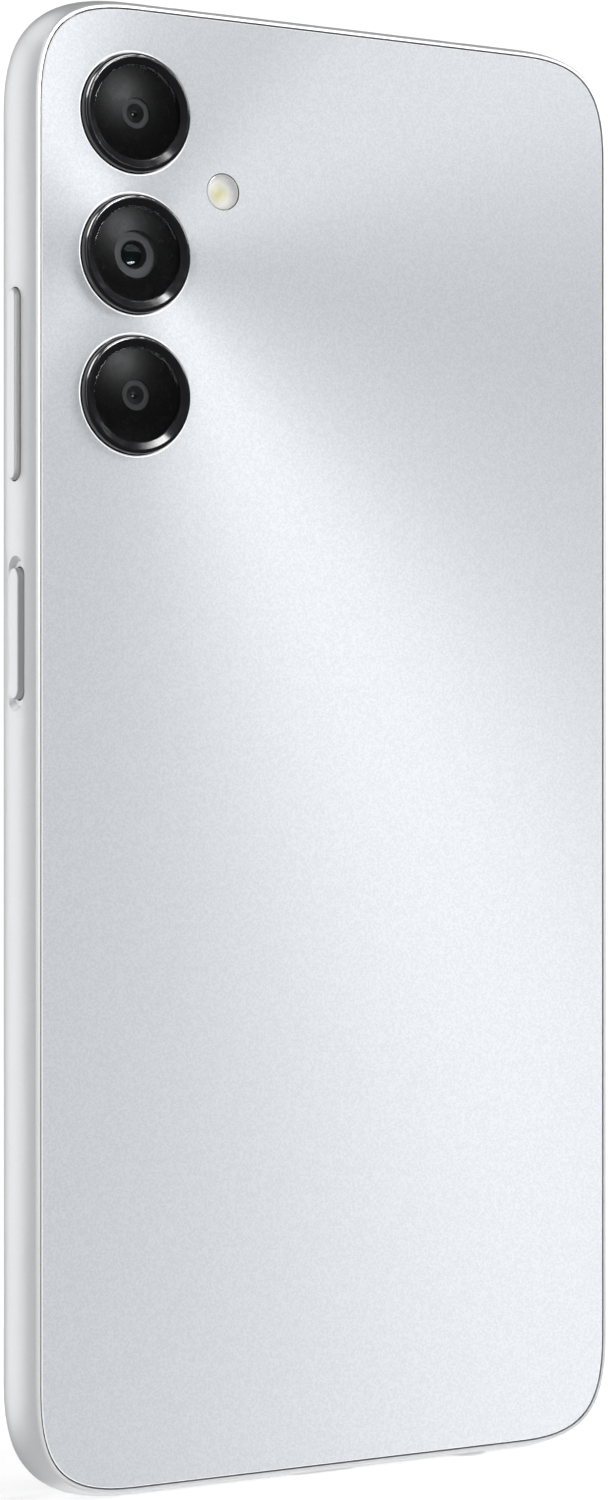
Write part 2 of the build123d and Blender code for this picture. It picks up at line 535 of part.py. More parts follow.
with BuildPart() as board_shields:
    block((-28.5, 10.0), (BOARD_BACK + PLATE_GAP, 1.6), (119.5, 130.4))
    block((-28.5, 8.8), (BOARD_BACK + PLATE_GAP, 1.6), (147.4, 152.5))
    block((-30.0, 14.0), (-1.45, BOARD_FRONT - PLATE_GAP), (119.5, 150.0))
    fillet(board_shields.edges().filter_by(Axis.Y), 0.6)
write(board_shields, "board_shields")

with BuildPart() as sub_board:
    block((-35.0, 35.0), (BOARD_FRONT, BOARD_BACK), (3.6, 24.2))
    outline_slab(INNER_FIT, BOARD_BACK + 1, BOARD_FRONT - 1, mode=Mode.INTERSECT)
    block((-USB_WIDTH / 2 - 0.1, USB_WIDTH / 2 + 0.1), (-2, 2), (0, USB_DEPTH + 1.2), Mode.SUBTRACT)
    block(JACK_BAY_X, (-2, 2), JACK_BAY_Z, Mode.SUBTRACT)
    block((11.4, 40), (-2, 2), (0, 18.6), Mode.SUBTRACT)
    round_block(MOTOR_X, MOTOR_Z, MOTOR_RADIUS + 0.2, -2, 2, Mode.SUBTRACT)
    for x, z in LOWER_SCREWS:
        round_block(x, z, BOSS_RADIUS + 0.2, -2, 2, Mode.SUBTRACT)
write(sub_board, "sub_board")

with BuildPart() as battery:
    block(*BATTERY)
    fillet(battery.edges().filter_by(Axis.Y), 1.5)
    fillet(battery.edges().group_by(Axis.Y)[-1], 0.5)
write(battery, "battery")

with BuildPart() as battery_tape:
    block((-24.0, -4.0), (PLATE_BACK + 0.01, BATTERY[1][0] - 0.01), (30.0, 108.0))
    block((6.0, 26.0), (PLATE_BACK + 0.01, BATTERY[1][0] - 0.01), (30.0, 108.0))
write(battery_tape, "battery_tape")

with BuildPart() as battery_flex:
    block((14.0, 26.0), (1.0, 1.25), (112.05, 118.0))
    block((14.5, 25.5), (BOARD_BACK + PLATE_GAP, 1.0), (115.6, 117.8))
write(battery_flex, "battery_flex")

FLEX_BACK, FLEX_THICKNESS, FLEX_LOW, FLEX_HIGH = 3.28, 0.2, 19.2, 116.6
FLEX_MIDDLE, FLEX_FOOT, FLEX_BEND = FLEX_BACK - FLEX_THICKNESS / 2, 0.8, 0.4
with BuildPart() as main_flex:
    block((-9.0, 3.0), (FLEX_BACK - FLEX_THICKNESS, FLEX_BACK), (25.2, 112.9))
    for z_board, z_bend, direction in ((FLEX_LOW, 25.2, 1), (FLEX_HIGH, 112.9, -1)):
        with BuildSketch(Plane.YZ.offset(-9.0)):
            with BuildLine():
                z_rise = z_bend - direction * 0.9
                bend = FilletPolyline(
                    (FLEX_FOOT, z_board), (FLEX_FOOT, z_rise), (FLEX_MIDDLE, z_rise), (FLEX_MIDDLE, z_bend),
                    radius=FLEX_BEND,
                )
                offset(bend, amount=FLEX_THICKNESS / 2, side=Side.BOTH)
            make_face()
        extrude(amount=12)
        block((-8.5, 2.5), (BOARD_BACK + PLATE_GAP, 0.75), (z_board - 1.2, z_board + 1.2))
write(main_flex, "main_flex")

COAX_RADIUS = 0.4
COAX_ROUTE = [(-27.5, 0.65, 115.2), (-34.95, 0.65, 115.2), (-34.95, 0.65, 22.8), (-24.5, 0.65, 22.8)]
with BuildPart() as coax_cable:
    with BuildLine():
        coax_path = FilletPolyline(*COAX_ROUTE, radius=2.2)
    with BuildSketch(Plane(coax_path @ 0, z_dir=coax_path % 0)):
        Circle(COAX_RADIUS)
    sweep()
    # the snap connector at each end
    for x, y, z in (COAX_ROUTE[0], COAX_ROUTE[-1]):
        round_block(x + 0.9, z, 1.1, BOARD_BACK + PLATE_GAP, 1.15)
write(coax_cable, "coax_cable")

# ---- bottom edge hardware -----------------------------------------------------------------------
ON_FOOT = (Align.CENTER, Align.CENTER, Align.MIN)
with BuildPart() as usb_receptacle:
    with BuildSketch(Plane.XY.offset(0.35)):
        with Locations((0, USB_Y)):
            SlotOverall(USB_WIDTH, USB_HEIGHT)
            SlotOverall(USB_WIDTH - 2 * USB_WALL, USB_HEIGHT - 2 * USB_WALL, mode=Mode.SUBTRACT)
    extrude(amount=USB_DEPTH)
    with BuildSketch(Plane.XY.offset(USB_DEPTH - 0.35)):
        with Locations((0, USB_Y)):
            SlotOverall(USB_WIDTH, USB_HEIGHT)
    extrude(amount=0.7)
write(usb_receptacle, "usb_receptacle")

with BuildPart() as usb_tongue:
    block((-3.35, 3.35), (USB_Y - 0.35, USB_Y + 0.35), (1.6, USB_DEPTH - 0.4))
    fillet(usb_tongue.edges().filter_by(Axis.Y).sort_by(Axis.Z)[:2], 0.6)
    # contact strips, twelve on each face
    for y in (USB_Y - 0.35, USB_Y + 0.35):
        with Locations((0, y, 4.1)):
            with GridLocations(0.5, 1, 12, 1):
                Box(0.26, 0.06, 4.0)
write(usb_tongue, "usb_tongue")

with BuildPart() as headphone_jack:
    with Locations((JACK_X, JACK_Y, 0.5)):
        Cylinder(JACK_NOZZLE_RADIUS, 4, align=ON_FOOT)
    jack_body_x = (JACK_X - JACK_BODY_HALF, JACK_X + JACK_BODY_HALF)
    block(jack_body_x, (JACK_Y - 2.4, JACK_Y + 2.4), (3.2, JACK_DEPTH + 1.9))
    fillet(headphone_jack.edges().filter_by(Axis.Z).filter_by(GeomType.LINE), 0.5)
    with Locations((JACK_X, JACK_Y, 0)):
        Cylinder(JACK_BORE_RADIUS, JACK_DEPTH + 0.5, align=ON_FOOT, mode=Mode.SUBTRACT)
write(headphone_jack, "headphone_jack")

SPEAKER_LEFT, SPEAKER_RIGHT, SPEAKER_HIGH = 11.8, 35.2, 18.3
DIAPHRAGM_X, DIAPHRAGM_Z = 23.0, 12.2
with BuildPart() as loudspeaker:
    block((SPEAKER_LEFT, SPEAKER_RIGHT), (-1.35, 2.15), (3.9, SPEAKER_HIGH))
    outline_slab(INNER_FIT, 3, -3, mode=Mode.INTERSECT)
    # opening over the diaphragm, and the duct to the holes in the frame
    with BuildSketch(layer(1.7)):
        with Locations((DIAPHRAGM_X, DIAPHRAGM_Z)):
            RectangleRounded(15.0, 9.0, 3.0)
    extrude(amount=2.6, mode=Mode.SUBTRACT)
    with BuildSketch(layer(3)):
        with Locations((DIAPHRAGM_X, DIAPHRAGM_Z)):
            RectangleRounded(12.0, 6.4, 2.4)
    extrude(amount=1.6, mode=Mode.SUBTRACT)
    block((13.2, 24.8), (USB_Y - 0.7, USB_Y + 0.7), (3, 8.5), Mode.SUBTRACT)
write(loudspeaker, "loudspeaker")

with BuildPart() as speaker_diaphragm:
    with BuildSketch(layer(0.8)):
        with Locations((DIAPHRAGM_X, DIAPHRAGM_Z)):
            RectangleRounded(14.6, 8.6, 2.8)
    extrude(amount=0.25)
    with BuildSketch(layer(0.95)):
        with Locations((DIAPHRAGM_X, DIAPHRAGM_Z)):
            RectangleRounded(9.5, 4.6, 1.6)
    extrude(amount=0.3)
write(speaker_diaphragm, "speaker_diaphragm")

with BuildPart() as speaker_mesh:
    block((12.6, 25.4), (USB_Y - 1.1, USB_Y + 1.1), (WALL + 0.1, WALL + 0.35))
write(speaker_mesh, "speaker_mesh")

with BuildPart() as bottom_microphone:
    block((MICROPHONE_X - 1.4, MICROPHONE_X + 1.4), (USB_Y + 0.05, USB_Y + 1.1), (8.4, 12.0))
write(bottom_microphone, "bottom_microphone")

with BuildPart() as top_microphone:
    block(
        (TOP_MICROPHONE_X - 1.4, TOP_MICROPHONE_X + 1.4), (BOARD_BACK + PLATE_GAP, 1.2), (155.5, 159.0)
    )
write(top_microphone, "top_microphone")

MOTOR_FRONT, MOTOR_BACK = -1.4, 1.7
with BuildPart() as vibration_motor:
    round_block(MOTOR_X, MOTOR_Z, MOTOR_RADIUS, MOTOR_FRONT, MOTOR_BACK)
    round_block(MOTOR_X, MOTOR_Z, MOTOR_RADIUS - 0.3, MOTOR_FRONT + 0.3, MOTOR_BACK - 0.3, Mode.SUBTRACT)
    round_block(MOTOR_X, MOTOR_Z, 0.4, MOTOR_FRONT + 0.2, MOTOR_BACK - 0.2)
write(vibration_motor, "vibration_motor")

with BuildPart() as vibration_rotor:
    round_block(MOTOR_X, MOTOR_Z, MOTOR_RADIUS - 0.6, -0.7, 1.0)
    block(
        (MOTOR_X - MOTOR_RADIUS, MOTOR_X + MOTOR_RADIUS), (-1, 2), (MOTOR_Z + 0.9, MOTOR_Z + MOTOR_RADIUS),
        Mode.SUBTRACT,
    )
    round_block(MOTOR_X, MOTOR_Z, 0.45, -1, 2, Mode.SUBTRACT)
write(vibration_rotor, "vibration_rotor")

# ---- inner covers and screws --------------------------------------------------------------------
with BuildPart() as upper_inner_cover:
    block((-35.2, 35.2), (INNER_COVER_FRONT, INNER_COVER_BACK), (113.6, 165.2))
    outline_slab(WALL + 0.3, 4, 1, mode=Mode.INTERSECT)
    camera_half = RING_FLANGE_RADIUS + 0.4
    block(
        (CAMERA_X - camera_half, 40), (1, 4),
        (CAMERA_Z["bottom"] - camera_half, CAMERA_Z["top"] + camera_half), Mode.SUBTRACT,
    )
    round_block(FLASH_X, FLASH_Z, FLASH_RADIUS + 0.9, 1, 4, Mode.SUBTRACT)
    block((-9.3, 3.3), (1, 4), (112, 115.6), Mode.SUBTRACT)
    for x, z in UPPER_SCREWS:
        round_block(x, z, SCREW_SHANK_RADIUS + 0.15, 1, 4, Mode.SUBTRACT)
write(upper_inner_cover, "upper_inner_cover")

with BuildPart() as lower_inner_cover:
    block((-35.2, 35.2), (INNER_COVER_FRONT, INNER_COVER_BACK), (3.4, 23.6))
    outline_slab(WALL + 0.3, 4, 1, mode=Mode.INTERSECT)
    block(JACK_BAY_X, (1, 4), JACK_BAY_Z, Mode.SUBTRACT)
    for x, z in LOWER_SCREWS:
        round_block(x, z, SCREW_SHANK_RADIUS + 0.15, 1, 4, Mode.SUBTRACT)
write(lower_inner_cover, "lower_inner_cover")


def cross_screws(places):
    """Pan-head screws with a cross recess, one at each place, driven in from the back."""
    for x, z in places:
        round_block(x, z, SCREW_SHANK_RADIUS - 0.05, -1.4, INNER_COVER_BACK + 0.02)
        round_block(x, z, SCREW_HEAD_RADIUS, INNER_COVER_BACK + 0.01, INNER_COVER_BACK + 0.45)
        for long_x, long_z in ((1.3, 0.3), (0.3, 1.3)):
            with Locations((x, INNER_COVER_BACK + 0.4, z)):
                Box(long_x, 0.5, long_z, mode=Mode.SUBTRACT)


with BuildPart() as upper_screws:
    cross_screws(UPPER_SCREWS)
write(upper_screws, "upper_screws")

with BuildPart() as lower_screws:
    cross_screws(LOWER_SCREWS)
write(lower_screws, "lower_screws")
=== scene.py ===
import json
import math

import bmesh
import bpy
from mathutils import Matrix, Vector

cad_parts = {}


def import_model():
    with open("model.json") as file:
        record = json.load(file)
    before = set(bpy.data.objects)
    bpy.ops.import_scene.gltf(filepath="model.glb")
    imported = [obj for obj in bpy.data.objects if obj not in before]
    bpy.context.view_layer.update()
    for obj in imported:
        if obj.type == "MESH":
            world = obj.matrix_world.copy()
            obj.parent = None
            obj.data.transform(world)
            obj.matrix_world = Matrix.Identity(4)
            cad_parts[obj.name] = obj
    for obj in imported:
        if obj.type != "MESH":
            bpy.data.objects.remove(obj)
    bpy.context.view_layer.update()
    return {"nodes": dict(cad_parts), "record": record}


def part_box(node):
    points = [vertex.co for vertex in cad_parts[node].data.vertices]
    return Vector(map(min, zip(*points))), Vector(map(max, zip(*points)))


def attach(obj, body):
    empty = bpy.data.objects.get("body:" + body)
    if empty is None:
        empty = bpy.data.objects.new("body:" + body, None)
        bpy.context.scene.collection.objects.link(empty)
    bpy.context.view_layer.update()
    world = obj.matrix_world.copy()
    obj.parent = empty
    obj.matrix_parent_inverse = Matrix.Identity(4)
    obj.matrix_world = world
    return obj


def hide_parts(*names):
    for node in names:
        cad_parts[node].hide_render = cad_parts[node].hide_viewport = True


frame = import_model()
nodes = frame["nodes"]
scene = bpy.context.scene
MM = 0.001


# ---- places worked out from the frame -----------------------------------------------------------
def middle(node):
    low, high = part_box(node)
    return (Vector(low) + Vector(high)) / 2


def size(node):
    low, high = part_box(node)
    return Vector(high) - Vector(low)


HEIGHT = size("side_frame").z
BACK_Y = Vector(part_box("back_cover")[1]).y
PIVOT = middle("camera_ring_middle")  # the grooves in the back cover run round it
AIM = Vector((0, 0, HEIGHT / 2))
PLACES = ("top", "middle", "bottom")

# sizes that the frame's boxes don't give, in mm
HOLE_RADIUS = 6.77  # camera holes in the back cover
DARK_EDGE_DEPTH = 0.11  # where the cover's cut edge turns dark, below the back face
MASK_RADIUS, MASK_SKIRT = 5.4, 0.12  # ink under a lens cover, and its turned-down edge round the opening
SMALL_OPENING, MAIN_OPENING = 1.72, 2.68  # radii of the openings in that ink
BEZEL_PROUD = 0.16  # how far a bezel stands out from the front of its camera
ADHESIVE_WIDTH = 1.35
NOTCH_RADIUS, FRONT_CAMERA_OPENING = 3.45, 1.6
BORDER_CORNER, BORDER_OVERLAP = 7.0, 0.15  # corner radius, and how far the border covers the panel's edge
GLINT_SIZE = 0.14  # painted highlight: a pale speck in a small lens

LENS_EDGE_SLOPE = 30  # degrees, where a dished lens front meets its edge
LENSES = {
    "main_lens_front": ("main_camera_lens", "focus_barrel"),
    "upper_lens_front": ("upper_camera_lens", "phone"),
    "lower_lens_front": ("lower_camera_lens", "phone"),
}


# ---- mesh helpers -------------------------------------------------------------------------------
def piece(name, mesh, body, material, centre=(0, 0, 0)):
    """A finished mesh as a piece that rides on a body, its own origin at centre."""
    thing = bpy.data.objects.new(name, mesh)
    thing.location = centre
    scene.collection.objects.link(thing)
    mesh.materials.append(material)
    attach(thing, body)
    return thing


def turned(name, profile, segments=160, sharp=28):
    """A closed profile of (radius, y) points, in mm, turned about the Y axis."""
    shape = bmesh.new()
    rings = []
    for radius, y in profile:
        if radius < 1e-6:
            rings.append([shape.verts.new((0, y * MM, 0))] * segments)
            continue
        ring = []
        reach = radius * MM
        for k in range(segments):
            turn = 2 * math.pi * k / segments
            ring.append(shape.verts.new((reach * math.cos(turn), y * MM, reach * math.sin(turn))))
        rings.append(ring)
    for a, b in zip(rings, rings[1:] + rings[:1]):
        for k in range(segments):
            n = (k + 1) % segments
            corners = []
            for vert in (a[k], a[n], b[n], b[k]):
                if vert not in corners:
                    corners.append(vert)
            if len(corners) > 2:
                shape.faces.new(corners)
    bmesh.ops.recalc_face_normals(shape, faces=shape.faces)
    return finished(name, shape, sharp)


def finished(name, shape, sharp=28):
    """Turns a bmesh into a smooth-shaded mesh whose edges stay crisp past the sharp angle."""
    for face in shape.faces:
        face.smooth = True
    for edge in shape.edges:
        edge.smooth = len(edge.link_faces) == 2 and edge.calc_face_angle(0.0) < math.radians(sharp)
    mesh = bpy.data.meshes.new(name)
    shape.to_mesh(mesh)
    shape.free()
    return mesh


def arc(centre_x, centre_z, radius, start, end, steps):
    """Points of an arc in (x, z), angles in degrees from +X towards +Z."""
    turns = [math.radians(start + (end - start) * k / steps) for k in range(steps + 1)]
    return [(centre_x + radius * math.cos(t), centre_z + radius * math.sin(t)) for t in turns]


# ---- material helpers ---------------------------------------------------------------------------
class Paint:
    """A node material under construction: the shader's constants are set on its own sockets."""

    def __init__(self, name, color, roughness, metallic=0.0, **constants):
        self.material = bpy.data.materials.new(name)
        self.material.use_nodes = True
        self.tree = self.material.node_tree
        self.shader = self.tree.nodes["Principled BSDF"]
        self.color, self.roughness = color, roughness
        self.put("Base Color", (*color, 1.0))
        self.put("Roughness", roughness)
        self.put("Metallic", metallic)
        for key, value in constants.items():
            self.put(key.replace("_", " ").title().replace("Ior", "IOR"), value)
        self.coords = self.add("ShaderNodeTexCoord").outputs["Object"]
        self.height = None

    def put(self, socket, value):
        self.shader.inputs[socket].default_value = value

    def add(self, kind, **settings):
        node = self.tree.nodes.new(kind)
        for key, value in settings.items():
            setattr(node, key, value)
        return node

    def link(self, out, socket):
        self.tree.links.new(out, socket)

    def math(self, operation, a, b=None, clamp=False):
        node = self.add("ShaderNodeMath", operation=operation, use_clamp=clamp)
        for socket, value in zip(node.inputs, (a, b)):
            if value is None:
                continue
            if isinstance(value, (int, float)):
                socket.default_value = value
            else:
                self.link(value, socket)
        return node.outputs[0]

    def noise(self, feature_mm, detail=2.0, roughness=0.5, stretch=(1, 1, 1)):
        """Smooth noise whose features are feature_mm across, stretched along each axis."""
        mapping = self.add("ShaderNodeMapping")
        mapping.inputs["Scale"].default_value = [1 / s for s in stretch]
        self.link(self.coords, mapping.inputs["Vector"])
        texture = self.add("ShaderNodeTexNoise")
        texture.inputs["Scale"].default_value = 1 / (feature_mm * MM)
        texture.inputs["Detail"].default_value = detail
        texture.inputs["Roughness"].default_value = roughness
        self.link(mapping.outputs[0], texture.inputs["Vector"])
        return texture.outputs["Fac"]

    def cells(self, feature_mm, output="Color"):
        """Random cells, each feature_mm across."""
        texture = self.add("ShaderNodeTexVoronoi")
        texture.inputs["Scale"].default_value = 1 / (feature_mm * MM)
        self.link(self.coords, texture.inputs["Vector"])
        return texture.outputs[output]

    def ramp(self, value, stops):
        """A colour or grey ramp through (position, value) stops."""
        ramp = self.add("ShaderNodeValToRGB")
        band = ramp.color_ramp
        while len(band.elements) < len(stops):
            band.elements.new(1.0)
        for element, (position, tone) in zip(band.elements, stops):
            element.position = position
            element.color = (*tone, 1.0) if isinstance(tone, tuple) else (tone, tone, tone, 1.0)
        self.link(value, ramp.inputs["Fac"])
        return ramp.outputs["Color"]

    def vary_color(self, value, spread, tint=(1.0, 1.0, 1.0)):
        """Lets value push the base colour up or down by a share of itself, towards tint at the high end."""
        low = tuple(max(c * (1 - spread), 0.0) for c in self.color)
        high = tuple(min(c * (1 + spread) * t, 1.0) for c, t in zip(self.color, tint))
        self.link(self.ramp(value, [(0.25, low), (0.75, high)]), self.shader.inputs["Base Color"])

    def vary_roughness(self, value, spread):
        low, high = max(self.roughness - spread, 0.0), min(self.roughness + spread, 1.0)
        self.link(self.ramp(value, [(0.3, low), (0.7, high)]), self.shader.inputs["Roughness"])

    def bump(self, value, height_mm, strength=1.0):
        """Adds relief height_mm high on top of what is already there."""
        node = self.add("ShaderNodeBump")
        node.inputs["Distance"].default_value = height_mm * MM
        node.inputs["Strength"].default_value = strength
        self.link(value, node.inputs["Height"])
        if self.height:
            self.link(self.height, node.inputs["Normal"])
        self.height = node.outputs["Normal"]
        self.link(self.height, self.shader.inputs["Normal"])

    def facing(self, axis, stops):
        """A mask of the faces that the stops pick out by how squarely they face along an axis."""
        split = self.add("ShaderNodeSeparateXYZ")
        self.link(self.add("ShaderNodeNewGeometry").outputs["True Normal"], split.inputs[0])
        return self.ramp(self.math("ABSOLUTE", split.outputs[axis]), stops)

    def in_front_of(self, y):
        """A mask of everything nearer the display than the depth y."""
        split = self.add("ShaderNodeSeparateXYZ")
        self.link(self.coords, split.inputs[0])
        return self.math("LESS_THAN", split.outputs["Y"], y)

    def repaint(self, picked, color, metal=None):
        """Gives the faces under a mask another colour."""
        mix = self.add("ShaderNodeMix", data_type="RGBA")
        base = self.shader.inputs["Base Color"]
        self.link(picked, mix.inputs["Factor"])
        self.link(base.links[0].from_socket, mix.inputs["A"])
        mix.inputs["B"].default_value = (*color, 1.0)
        self.link(mix.outputs["Result"], base)
        if metal is not None:
            plain = self.shader.inputs["Metallic"].default_value
            self.link(self.ramp(picked, [(0.0, plain), (1.0, metal)]), self.shader.inputs["Metallic"])

    def pass_lamps(self, tint):
        """Lets lamps shine straight through the glass, tinted at each face."""
        mix = self.add("ShaderNodeMixShader")
        open_way = self.add("ShaderNodeBsdfTransparent")
        open_way.inputs["Color"].default_value = (tint, tint, tint, 1.0)
        self.link(self.add("ShaderNodeLightPath").outputs["Is Shadow Ray"], mix.inputs["Fac"])
        self.link(self.shader.outputs[0], mix.inputs[1])
        self.link(open_way.outputs[0], mix.inputs[2])
        self.link(mix.outputs[0], self.tree.nodes["Material Output"].inputs["Surface"])


def moulded(name, color, roughness=0.5, grain_mm=0.25, relief_mm=0.006, **constants):
    """Moulded plastic: a fine spark-eroded grain and slow changes of gloss."""
    paint = Paint(name, color, roughness, **constants)
    paint.vary_color(paint.noise(3.0, 3.0), 0.06)
    paint.vary_roughness(paint.noise(1.2, 2.0), 0.07)
    paint.bump(paint.noise(grain_mm, 2.0, 0.6), relief_mm)
    return paint.material


def sheet_metal(name, color, roughness=0.3, grain=(1, 1, 8), **constants):
    """Rolled sheet: long fine grain along one axis, with faint blotches."""
    paint = Paint(name, color, roughness, metallic=1.0, **constants)
    paint.vary_color(paint.noise(2.5, 3.0), 0.08)
    paint.vary_roughness(paint.noise(0.12, 2.0, stretch=grain), 0.1)
    paint.bump(paint.noise(0.08, 2.0, stretch=grain), 0.002)
    return paint.material


# ---- materials ----------------------------------------------------------------------------------
def pearl_lacquer():
    """Silver lacquer over fine circular grooves round the middle camera, under a clear coat."""
    paint = Paint("pearl_lacquer", (0.67, 0.695, 0.727), 0.51, metallic=0.55, anisotropic=1.0,
                  coat_weight=0.3, coat_roughness=0.12)
    flakes = paint.cells(0.2)
    paint.vary_color(flakes, 0.05)
    paint.bump(flakes, 0.0012)
    # the cut edge is dark, and the fine bevel round the panel and its holes is painted near-white: a
    # painted highlight
    bevel = paint.facing("Y", [(0.55, 0.0), (0.60, 1.0), (0.80, 1.0), (0.90, 0.0)])
    paint.repaint(bevel, (0.97, 0.97, 0.98), 0.0)
    paint.repaint(paint.in_front_of(BACK_Y - DARK_EDGE_DEPTH * MM), (0.03, 0.03, 0.035))
    # the grooves are circles round the pivot, so light spreads along the radius
    pivot = paint.add("ShaderNodeVectorMath", operation="SUBTRACT")
    pivot.inputs[1].default_value = PIVOT
    paint.link(paint.coords, pivot.inputs[0])
    paint.link(pivot.outputs[0], paint.shader.inputs["Tangent"])
    return paint.material


def silver_lacquer(name="silver_lacquer", flank_painted_shade=None):
    """The side frame's lighter silver, satin. On a key, the flanks that drop into the frame are painted
    darker, as painted shade from the slot.
    """
    paint = Paint(name, (0.84, 0.85, 0.86), 0.42, metallic=0.5, coat_weight=0.1, coat_roughness=0.2)
    flakes = paint.cells(0.1)
    paint.vary_color(flakes, 0.02)
    paint.bump(flakes, 0.001)
    if flank_painted_shade:
        # painted shade: a key's flanks darkened where they drop into the frame's slot
        paint.repaint(paint.facing("X", [(0.70, 1.0), (0.92, 0.0)]), (flank_painted_shade, flank_painted_shade, flank_painted_shade))
    return paint.material


def gloss_black():
    """Glossy black rings, with the faintest ripple in the gloss."""
    paint = Paint("gloss_black", (0.004, 0.004, 0.005), 0.14, ior=1.6)
    paint.vary_roughness(paint.noise(0.8, 3.0), 0.03)
    paint.bump(paint.noise(1.5, 2.0), 0.002)
    return paint.material


def clear_glass():
    """Smoked glass of the lens covers."""
    paint = Paint("clear_glass", (0.55, 0.56, 0.57), 0.02, transmission_weight=1.0, ior=1.45)
    paint.vary_roughness(paint.noise(2.0, 2.0), 0.01)
    paint.pass_lamps(0.75)
    return paint.material


def display_glass():
    """Cover glass of the display, very slightly grey."""
    paint = Paint("display_glass", (0.80, 0.81, 0.82), 0.02, transmission_weight=1.0, ior=1.5)
    paint.vary_roughness(paint.noise(6.0, 4.0), 0.01)
    paint.pass_lamps(0.9)
    return paint.material


def lens_glass(name="lens_glass", glint_mm=None):
    """Coated lens: nearly black, with a green sheen. A painted speck stands for a small lens's glint."""
    paint = Paint(name, (0.002, 0.0035, 0.004), 0.05, ior=1.7, coat_weight=0.4,
                  coat_tint=(0.6, 1.0, 0.9, 1.0))
    paint.vary_color(paint.noise(0.8, 1.0), 0.4, (0.7, 1.2, 1.0))
    if glint_mm:
        flat = paint.add("ShaderNodeVectorMath", operation="MULTIPLY")
        flat.inputs[1].default_value = (1, 0, 1)
        paint.link(paint.coords, flat.inputs[0])
        reach = paint.add("ShaderNodeVectorMath", operation="DISTANCE")
        reach.inputs[1].default_value = Vector((0.8, 0, -0.5)) * glint_mm * MM
        paint.link(flat.outputs[0], reach.inputs[0])
        near = paint.math("DIVIDE", reach.outputs["Value"], glint_mm * MM)
        # painted highlight: a pale speck standing for the lens's glint
        paint.repaint(paint.ramp(near, [(0.6, 1.0), (1.0, 0.0)]), (0.9, 1.0, 0.95))
    return paint.material


def mask_ink():
    """Black ink under the lens cover, its sheen crowned a little, as the ink thins towards the edge."""
    paint = Paint("mask_ink", (0.0025, 0.0025, 0.003), 0.27, specular_ior_level=0.28)
    paint.vary_roughness(paint.noise(1.5, 2.0), 0.02)
    span = paint.add("ShaderNodeVectorMath", operation="LENGTH")
    paint.link(paint.coords, span.inputs[0])
    reach = paint.math("DIVIDE", span.outputs["Value"], MASK_RADIUS * MM)
    crown = paint.math("MULTIPLY", paint.math("POWER", reach, 2.0), -1.0)
    paint.bump(crown, 0.42)
    return paint.material


def bezel_black():
    """Anodised black, finely turned."""
    paint = Paint("bezel_black", (0.12, 0.12, 0.124), 0.42, metallic=0.3)
    paint.vary_roughness(paint.noise(0.2, 2.0), 0.06)
    return paint.material


def flash_diffuser():
    """Milky window: cream white, with the yellow die showing through near its middle, and painted shade
    darkening it towards the rim, most on the side away from the die.
    """
    paint = Paint("flash_diffuser", (0.86, 0.85, 0.80), 0.22, coat_weight=1.0, coat_roughness=0.04)
    die = middle("flash_led") + Vector((0.60, 0.0, -0.30)) * MM
    die.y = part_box("flash_lens")[1][1]
    reach = paint.add("ShaderNodeVectorMath", operation="DISTANCE")
    reach.inputs[1].default_value = die
    paint.link(paint.coords, reach.inputs[0])
    spread = paint.math("DIVIDE", reach.outputs["Value"], 2.2 * MM)
    wobble = paint.math("MULTIPLY", paint.noise(0.7, 1.0), 0.25)
    # painted shade: grey towards the rim, darkest on the side away from the die
    tones = [(0.10, (0.53, 0.51, 0.26)), (0.36, (0.58, 0.57, 0.42)), (0.60, (0.60, 0.60, 0.57)),
             (1.0, (0.36, 0.36, 0.355))]
    tone = paint.ramp(paint.math("ADD", paint.math("SUBTRACT", spread, 0.12), wobble), tones)
    paint.link(tone, paint.shader.inputs["Base Color"])
    rings = paint.math("SINE", paint.math("MULTIPLY", reach.outputs["Value"], 2 * math.pi / (0.28 * MM)))
    paint.bump(rings, 0.003)
    return paint.material


def bevel_white():
    """Cut edge painted near-white as a painted highlight, a little frosted."""
    paint = Paint("bevel_white", (0.90, 0.90, 0.91), 0.5)
    paint.vary_roughness(paint.noise(0.3, 2.0), 0.05)
    return paint.material


# finishes of the pieces that are made here
MASK_INK = mask_ink()
# painted highlight: the white of the camera-hole bevels
BEVEL_PAINTED_HIGHLIGHT = bevel_white()
SMALL_LENS = lens_glass("small_lens_glass", GLINT_SIZE)
BORDER_INK = moulded("border_ink", (0.003, 0.003, 0.004), 0.3, 0.5, 0.0005)
BEZEL_BLACK = bezel_black()

